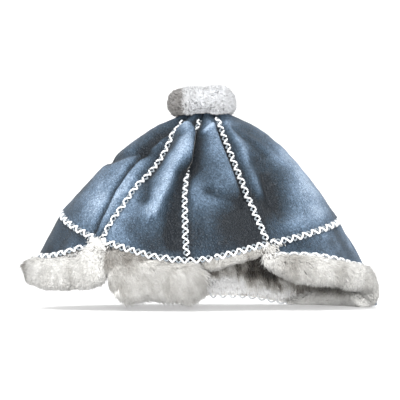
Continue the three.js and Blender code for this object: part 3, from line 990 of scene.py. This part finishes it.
for side, flap in earFlap.items():
    body = "ear_flap_" + side
    waves = flapWaves(side)
    u, v = grid(flapGrid["rows"], flapGrid["columns"])
    angle = lerp(flap["low"] + flapGrid["inset"], flap["high"] - flapGrid["inset"], u)
    drop = lerp(0.5, leatherDrop(side, u), v)
    outer, normal = hangingSkin(angle, drop, waves, 40)
    inner = outer - normal * leatherDepth
    tone = flapTone(side, angle, drop, outer)
    leather = slab("earFlap" + side.capitalize() + "Leather", outer, inner, leatherLook, tone)
    start, end = hingeCrossing(body + "_hinge", (flap["low"] + flap["high"]) / 2)
    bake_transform(leather)
    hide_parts(body)
    angle = lerp(flap["low"] + flapGrid["woolInset"], flap["high"] - flapGrid["woolInset"], u)
    top = hangPoint(angle, drop + 0.5, footSwell(angle) * np.exp(-drop / 18) - flapGrid["wool"])
    low = hangPoint(angle, drop + 0.5, -hideDepth - 0.8 * latticeNoise(outer, 7, 22))
    tone = 0.4 + 0.2 * latticeNoise(low, 5, 6)
    wool = slab("earFlap" + side.capitalize() + "Wool", top, low, woolLook, tone)
    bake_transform(wool)
    centre, upward, out = footLine(flap["low"] + 1.0, flap["high"] - 1.0)  # the seam it hangs from
    cadName = "lacing_ear_flap_" + side
    laces = laceSeam(camelCase(cadName), cadName, centre, upward, out, body=None)
    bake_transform(laces)
    line = np.linspace(flap["low"] + 2, flap["high"] - 2, 160)  # the leather's lower edge
    edge = leatherDrop(side, np.linspace(0.02, 0.98, 160))
    centre = hangPoint(line, edge, 1.2 + waves(line, edge))
    tilt = unit(outward(line) + np.array([0, 0, 0.5]))
    across = unit(np.cross(np.gradient(centre, axis=0), tilt))
    cadName = "lacing_ear_fur_" + side
    laceSeam(
        camelCase(cadName), cadName, centre, across, tilt, body=body, halfWidth=flap["halfStitch"],
        dip=flap["dip"],
    )
print("ear flaps made")

furShape = dict(
    trimHeight=dict(right=(30, 27), left=(25, 38)), crease=dict(right=0.5, left=0.72), pileRoom=6.0,
    topRoom=2.5, thickness=26, lobeRise=8, billCorner=24, billLow=12, rollHeight=11.5,
)


def roundedEnds(u, least, square=8):
    # how thick a strip is along its length: full in the middle and rounded off at both ends
    return np.maximum(least, (1 - np.abs(2 * u - 1) ** square) ** 0.45)


def trimForm(side):
    # the pad leaves room for its pile; each trim starts with a lobe that stands up to the seam in front
    flap = earFlap[side]

    def place(u, turn):
        out, up = superRound(turn, 0.75)
        ends = roundedEnds(u, 0.5)
        crease = 1 - 0.25 * np.exp(-(((u - furShape["crease"][side]) / 0.035) ** 2))
        high, low = furShape["trimHeight"][side]
        height = lerp(high, low, u) - furShape["topRoom"] - furShape["pileRoom"]
        outwards = 1.0
        if side == "left":
            ends = np.maximum(ends, 0.8 * (u < 0.5))
            height = height * (1 - 0.45 * np.exp(-((u / 0.1) ** 2)))
            lobe = furShape["lobeRise"] * smooth(u, 0.7, 0.8)
            angle = lerp(flap["low"] + 1.5, flap["high"] + 4.5, u)
            outwards = 1.0 + 4 * (1 - smooth(u, 0, 0.15)) + 2.5 * smooth(u, 0.8, 0.95)
        else:
            height = height * (0.4 + 0.6 * smooth(u, 0, 0.22)) + 12 * smooth(u, 0.86, 1)
            lobe = (furShape["lobeRise"] - 2) * (1 - smooth(u, 0.02, 0.1))
            angle = lerp(flap["low"] - 1, flap["high"] - 1, u)
        half = (height + lobe) / 2 * ends * crease
        top = leatherDrop(side, u) + furShape["topRoom"] - lobe
        wide = (furShape["thickness"] / 2 - furShape["pileRoom"]) * ends * crease
        return hangPoint(angle, top + (height + lobe) / 2 - up * half, out * wide - hideDepth / 2 + outwards)

    return loft(40, 20, place)


def billForm():
    # a flat pad that hangs from the seam, cut diagonally at its left lower corner
    def place(u, turn):
        out, up = superRound(turn, 0.8)
        ends = roundedEnds(u, 0.7, square=12)
        angle = lerp(bill["low"] + 0.5, bill["high"] - 4.0, u)
        rise = furShape["billCorner"] * np.exp(-((u / 0.11) ** 2)) + 0.8 * np.cos(u * 15) + 2 * (1 - u)
        lowest = footHeight(angle) - rise - furShape["billLow"]
        drop = lerp(hingeGap - 2.5, lowest, (1 - up * ends) / 2)
        return hangPoint(angle, drop, out * (bill["thickness"] / 2 - furShape["pileRoom"] + 1) * ends - 3)

    return loft(36, 20, place)


def rollForm():
    # a small tube of fur rolled under the seam
    def place(u, turn):
        out, up = superRound(turn, 0.9)
        ends = roundedEnds(u, 0.5)
        angle = lerp(roll["low"] - 3.0, roll["high"] + 1.5, u)
        drop = 2.5 + (furShape["rollHeight"] - 6) * (1 - up * ends) / 2
        return hangPoint(angle, drop, out * (roll["thickness"] / 2 - 5) * ends - 4)

    return loft(20, 16, place)


def trimShade(side):
    # painted shade in a trim's creases, and darker round the left one's far end
    def dip(p, x, reach):
        return np.exp(-(((p[:, 0] - x) / reach) ** 2))

    if side == "left":
        return lambda p: 0.02 - 0.75 * smooth(-p[:, 0], 158, 174) - 0.15 * dip(p, -117, 4)
    return lambda p: -0.02 - 0.3 * dip(p, 80, 12) - 0.22 * dip(p, 128, 5)


furPad(
    "earFurRight", "ear_flap_fur_right", "ear_flap_right", trimForm("right"), longPile,
    lambda p: combedDown(p, 0.15), 17000, 101, shade=trimShade("right"),
)
furPad(
    "earFurLeft", "ear_flap_fur_left", "ear_flap_left", trimForm("left"), longPile,
    lambda p: combedDown(p, -0.1), 16000, 102, shade=trimShade("left"),
)
# the bill's wool: a little greyer all over, painted shade under the seam at its top, and lighter towards its
# lower edge
furPad(
    "frontBill", "front_bill", "bill", billForm(), billPile, lambda p: combedDown(p, 0.6), 19000, 103,
    shade=lambda p: -0.16 - 0.3 * smooth(p[:, 2], 38, 54) + 0.1 * smooth(-p[:, 2], -22, -12),
)
furPad(
    "frontRoll", "front_roll", "crown", rollForm(), rollPile, lambda p: combedDown(p, -0.3), 8000, 104, cap=2,
    voxel=3.0, shade=lambda p: -0.25 * smooth(p[:, 0], 25, 55),
)
print("fur trims made")

billStart, billEnd = hingeCrossing("bill_hinge", bill["middle"])
centre, upward, out = footLine(*bill["laced"])
laces = laceSeam("lacingFrontBill", "lacing_front_bill", centre, upward, out, body=None)
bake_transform(laces)
centre, upward, out = footLine(*roll["laced"])
laceSeam("lacingFrontRoll", "lacing_front_roll", centre, upward, out)

# The bill's backing is the hide that its fur grows on. It crosses the hinge.
u, v = grid(30, 60)
angle = lerp(bill["low"] + 1.5, bill["high"] - 5, u)
backLow = footHeight(angle) - 10 - 26 * np.exp(-((u / 0.16) ** 2))
drop = lerp(0.6, backLow, v)
inside = -9.0 * smooth(drop, 2, 14) - 1.0
outer, inner = hangPoint(angle, drop, inside), hangPoint(angle, drop, inside - leatherDepth)
backing = slab("frontBillBacking", outer, inner, leatherLook, np.full(drop.shape, -0.6))
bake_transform(backing)


def neckLow(angle):
    # the height of the neck panels' lower edge: level, lifted a little behind the roll, and risen at the left
    lift = neck["lift"] * smooth(angle, *neck["liftStart"]) * (1 - smooth(angle, *neck["liftEnd"]))
    return neck["rise"] * smooth(angle, neck["riseFrom"], neck["riseTo"]) + neck["edge"] + lift


def insideShade(points):
    # the wool inside is painted dark with shade where it lies deep in the crown, painted brown with shade
    # behind the right flap, and lighter towards the hem
    x, z = points[:, 0], points[:, 2]
    deep = np.exp(-(((x - 72) / 24) ** 2)) * smooth(z, 14, 26)
    crease = smooth(x, 92, 110) * smooth(z, 9, 16)
    return 0.28 - 0.75 * smooth(z, 27, 39) - 0.7 * deep - 0.2 * smooth(x, 74, 100) - 0.6 * crease


def neckWaves(angle, drop):
    # two sine waves round the hat, growing below the seam
    a = np.radians(angle)
    return (1.8 * np.sin(a * 7) + 1.2 * np.sin(a * 13 + 1)) * smooth(drop, 4, 30)


for side, (low, high) in neck["spans"].items():
    u, v = grid(40, 90)
    angle = lerp(low, high, u)
    drop = lerp(0.6, footHeight(angle) - neckLow(angle), v)
    waves = neckWaves(angle, drop)
    outer, normal = hangingSkin(angle, drop, neckWaves, 44)
    inner = outer - normal * leatherDepth
    # painted shade just under the seam, and the waves painted lighter where they stand out and darker where
    # they sink
    tone = -0.8 * np.exp(-((drop / 4) ** 2)) + 0.3 * latticeNoise(outer, 24, 33) + 0.12 * waves
    leather = slab("neckPanel" + side.capitalize() + "Leather", outer, inner, leatherLook, tone)
    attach(leather, "crown")
    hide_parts("neck_panel_" + side)
    top = hangPoint(angle, drop, waves + footSwell(angle) * np.exp(-drop / 18) - 3.0)
    face = hangPoint(angle, drop, waves * 0.6 - hideDepth - latticeNoise(outer, 8, 23))
    tone = 0.45 + 0.2 * latticeNoise(face, 5, 7)
    wool = slab("neckPanel" + side.capitalize() + "Wool", top, face, liningLook, tone)
    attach(wool, "crown")
    faces = gridFaces(*face.shape[:2])[:, ::-1]
    roots, inwards = scattered(face.reshape(-1, 3), [faces], neck["locks"], 60 + len(side))
    facing = (inwards * outward(ovalAngle(roots))).sum(-1)
    inwards = inwards * (-1 if facing.mean() > 0 else 1)
    shown = roots[:, 2] > neckLow(ovalAngle(roots)) + neck["hem"]  # the edge's lacing stays clear
    roots, inwards = roots[shown], inwards[shown]
    pile(
        "neckPanel" + side.capitalize() + "Pile", roots, inwards, combedDown(roots, 0.1), neckPile,
        70 + len(side), liningLook, "crown", shade=insideShade,
    )
    centre, upward, out = footLine(*neck["laced"][side])
    laceSeam("lacingNeck" + side.capitalize(), "lacing_neck_" + side, centre, upward, out)
print("neck panels made")


def rimForm():
    # the wool that rolls in along the right neck panel's lowest edge
    def place(u, turn):
        out, up = superRound(turn, 0.9)
        ends = np.maximum(0.4, (1 - np.abs(2 * u - 1) ** 6) ** 0.5)
        angle = lerp(-1.5, 52, u)
        size = lerp(8.5, 3, smooth(u, 0.4, 1)) * ends
        drop = footHeight(angle) - neckLow(angle) + 0.5 - size - up * size
        return hangPoint(angle, drop, -hideDepth - 5.5 + out * size * 0.8)

    return loft(36, 16, place)


# the rim's upper side is painted dark with shade in the crease behind the right trim, and it is darker towards
# its end further back
furPad(
    "neckRim", None, "crown", rimForm(), longPile, lambda p: combedDown(p, 0.2), 9000, 106, cap=2,
    shade=lambda p: 0.3 - 0.25 * smooth(-p[:, 0], -125, -95) - 0.8 * smooth(p[:, 2], 11, 17),
)


def whipLacing(name, cadName, low, high):
    # one cord wound round the panel's lower edge, with a turn for each stitch
    angle = np.linspace(low, high, 900)
    drop = footHeight(angle) - neckLow(angle)
    centre = hangPoint(angle, drop - 1.2, neckWaves(angle, drop) * 0.8 - hideDepth / 2)
    run = runAlong(centre)
    turn = math.tau * run / run[-1] * round(run[-1] / lacing["pitch"])
    reach = hideDepth / 2 + 1.6
    path = centre + outward(angle) * (reach * np.sin(turn))[:, None]
    path[:, 2] += 3.4 * np.cos(turn) - 0.2
    path[:, 2] = np.maximum(path[:, 2], 1.15)
    axis = unit(np.gradient(centre, axis=0))
    piece = tubes(name, [path], [axis], 1.0, yarnLook, ply=lacing["ply"], twist=lacing["twist"])
    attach(piece, "crown")
    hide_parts(cadName)


for side, (low, high) in neck["edgeLaced"].items():
    whipLacing("lacingNeckEdge" + side.capitalize(), "lacing_neck_edge_" + side, low, high)
drops = np.linspace(4, seamFoot["back"] - 6, 80)
backAngle = np.full(len(drops), float(seamAngle["back"]))
centre = hangPoint(backAngle, drops, 0.4 + neckWaves(backAngle, drops))
out = outward(backAngle)
laceSeam("lacingNeckBack", "lacing_neck_back", centre, unit(np.cross(np.gradient(centre, axis=0), out)), out)

# Wool inside the crown.
insideLocks = 3000  # on each gore and each ear flap
for index, goreName in enumerate(goreNames):
    angle, share = goreGrid(index, 60, 40, low=0.2)
    outer, normal, tone = crownSkin(angle, share)
    low = liningFace(angle, share, outer, normal)
    faces = gridFaces(*low.shape[:2])
    roots, inwards = scattered(low.reshape(-1, 3), [faces], insideLocks, 200 + index)
    inwards = inwards * (-1 if ((roots - np.array([0, 0, 60.0])) * inwards).sum() > 0 else 1)
    pile(
        camelCase("gore_" + goreName) + "Pile", roots, inwards, combedDown(roots), longPile, 220 + index,
        liningLook, "crown",
    )
for side, flap in earFlap.items():
    u, v = grid(20, 40)
    angle = lerp(flap["low"] + 2, flap["high"] - 2, u)
    drop = lerp(hingeGap + 2, leatherDrop(side, u), v)
    low = hangPoint(angle, drop, -hideDepth)
    roots = scattered(low.reshape(-1, 3), [gridFaces(20, 40)], insideLocks, 240)[0]
    pile(
        "earFlap" + side.capitalize() + "Pile", roots, -outward(ovalAngle(roots)), combedDown(roots), longPile,
        250, liningLook, "ear_flap_" + side,
    )
print("wool inside made")

# Wisps of wool come out at the two front corners, where three seams meet: degrees aside, locks and tone.
wisps = dict(shortPile, length=5, rise=0.5, bend=0.6, curl=0.9, stray=0.6)
for corner, shift, count, tone in (("frontLeft", -1.5, 420, 0.92), ("frontRight", 1.0, 170, 0.6)):
    rng = np.random.default_rng(seamNames.index(corner) + 400)
    angle = seamAngle[corner] + shift + rng.normal(0, 2.2, count)
    roots = hangPoint(angle, rng.normal(3.5, 2.6, count), 0.4)
    look = dict(wisps, tone=tone)
    pile(corner + "Wisps", roots, outward(angle), combedDown(roots), look, 410, woolLook, "crown")


def topknotForm():
    # a loaf of rolled shearling: a rounded box with a dip in its top and a groove where the end tucks in
    def place(u, turn):
        latitude = (u - 0.5) * math.pi * 0.96
        level = np.abs(np.cos(latitude)) ** 0.42
        up = np.sign(u - 0.5) * np.abs(np.sin(latitude)) ** 0.8
        cx, cy = superRound(turn, 0.66)
        x = cx * level * (topknot["halfWidth"] - 4.5)
        y = cy * level * (topknot["halfDepth"] - 4)
        groove = 1 - 0.2 * np.exp(-(((x - topknot["grooveAt"]) / 2.6) ** 2))
        lean = 1 - 0.12 * smooth(x, 20, 35) - 0.1 * smooth(-x, 14, 34)
        y = y * groove
        seat = crown["top"] + 3.0 - 105 * ((x / crown["halfWidth"]) ** 2 + (y / crown["halfDepth"]) ** 2)
        z = topknot["middle"] + 0.5 + up * (topknot["halfHeight"] - 3.5) * groove * lean
        dip = topknot["dip"] * np.exp(-((x / 9) ** 2) - ((y + 4) / 22) ** 2) * smooth(up, 0, 0.6)
        z = np.maximum(z - dip, seat)
        return np.stack([x + topknot["shift"], y, z], -1)

    return loft(30, 44, place)


knotPile = dict(shortPile, length=7, rise=0.6, bend=0.65, tone=0.56, curl=0.5)
# painted shade darkens the topknot's left lobe, turned away from the light, and its top is painted a little
# darker
furPad(
    "topknotRoll", "topknot", "crown", topknotForm(), knotPile,
    lambda p: unit(p - np.array([topknot["shift"], 0, 196.0])), 11000, 105, finish=knotLook,
    shade=lambda p: -0.55 * smooth(-p[:, 0], 12, 17) - 0.1 * smooth(p[:, 2], 210, 218),
)

# Its tie: a cord down through the crown's hole, and a trefoil knot inside.
tie = dict(radius=1.5, twist=3.4, above=6, below=12, knot=4.2, knotDrop=14, knotHeight=2.6)
tieLine = np.zeros((40, 3))
tieLine[:, 0] = crown["topShift"]
tieLine[:, 2] = np.linspace(crown["top"] - tie["below"], crown["top"] + tie["above"], len(tieLine))
turn = math.tau * np.linspace(0, 1, 120)
reach = tie["knot"] * (1 + 0.3 * np.cos(3 * turn))
knot = np.stack([
    crown["topShift"] + reach * np.sin(2 * turn), reach * np.cos(2 * turn),
    crown["top"] - tie["knotDrop"] + tie["knotHeight"] * np.sin(3 * turn),
], -1)
ups = [np.broadcast_to([1.0, 0, 0], tieLine.shape), np.broadcast_to([0, 0, 1.0], knot.shape)]
tieCord = tubes(
    "topknotTie", [tieLine, knot], ups, tie["radius"], yarnLook, ply=lacing["ply"], twist=tie["twist"]
)
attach(tieCord, "crown")
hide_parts("topknot_tie")
print("topknot made")

# The studio: a pale floor that curves up into a backdrop and glows with painted light, soft light from above
# and the left, and the camera.
studio = dict(
    floor="#dedede", glow=0.38, floorHalf=3.2, curve=1.2, key=36, fill=6, top=13, low=42.0, world=0.7,
    distance=1.0, height=0.038, target=0.107, frameWidth=0.4,
)


def makeFloor():
    # a profile carried along X: level to well in front of the camera, and a quarter circle up behind
    half = studio["floorHalf"]
    bend = np.radians(np.linspace(0, 90, 24))
    y = np.concatenate([[-3 * half, half * 0.5], half * 0.5 + studio["curve"] * np.sin(bend)])
    z = np.concatenate([[0, 0], studio["curve"] * (1 - np.cos(bend))])
    y, z = np.append(y, y[-1]), np.append(z, z[-1] + 2.5)
    x = np.array([-2 * half, 2 * half])
    points = np.stack(np.broadcast_arrays(x[None, :], y[:, None], z[:, None]), -1).reshape(-1, 3)
    mesh = bpy.data.meshes.new("floor")
    faces = gridFaces(len(y), 2)[:, ::-1]
    mesh.from_pydata(points.tolist(), [], faces.tolist())
    mesh.polygons.foreach_set("use_smooth", np.ones(len(faces), bool))
    floor = bpy.data.objects.new("floor", mesh)
    bpy.context.scene.collection.objects.link(floor)
    material, tree, shader = newMaterial("paleFloorPaint")
    shader.inputs["Base Color"].default_value = linear(studio["floor"])
    shader.inputs["Roughness"].default_value = 0.9
    shader.inputs["Specular IOR Level"].default_value = 0.1
    # the floor glows: painted light that brightens its own shadows and lights the hat from below
    shader.inputs["Emission Color"].default_value = (1, 1, 1, 1)
    shader.inputs["Emission Strength"].default_value = studio["glow"]
    mesh.materials.append(material)


def aim(thing, place, target):
    thing.location = place
    thing.rotation_euler = (Vector(target) - Vector(place)).to_track_quat("-Z", "Y").to_euler()


def areaLight(name, place, target, size, power):
    light = bpy.data.lights.new(name, "AREA")
    light.shape = "DISK"
    light.size = size
    light.energy = power
    lamp = bpy.data.objects.new(name, light)
    bpy.context.scene.collection.objects.link(lamp)
    lamp.visible_camera = False
    aim(lamp, place, target)


makeFloor()
areaLight("keyLight", (-0.9, -0.9, 1.9), (0, 0, 0.08), 1.3, studio["key"])
areaLight("fillLight", (1.5, -1.6, 1.0), (0, 0, 0.08), 1.6, studio["fill"])
areaLight("topLight", (0.4, 0.7, 1.9), (0, 0, 0.1), 1.2, studio["top"])
areaLight("lowLight", (0.1, -1.7, 0.16), (0.05, 0.05, 0.02), 0.6, studio["low"])
world = bpy.data.worlds.new("studioWorld")
world.use_nodes = True
world.node_tree.nodes["Background"].inputs[0].default_value = (1, 1, 1, 1)
world.node_tree.nodes["Background"].inputs[1].default_value = studio["world"]
bpy.context.scene.world = world
bpy.context.scene.view_settings.view_transform = "Standard"

lens = bpy.data.cameras.new("camera")
lens.sensor_width = 36
reach = math.hypot(studio["distance"], studio["target"] - studio["height"])
lens.lens = lens.sensor_width * reach / studio["frameWidth"]
camera = bpy.data.objects.new("camera", lens)
bpy.context.scene.collection.objects.link(camera)
aim(camera, (0, -studio["distance"], studio["height"]), (0, 0, studio["target"]))
bpy.context.scene.camera = camera
print("studio made")
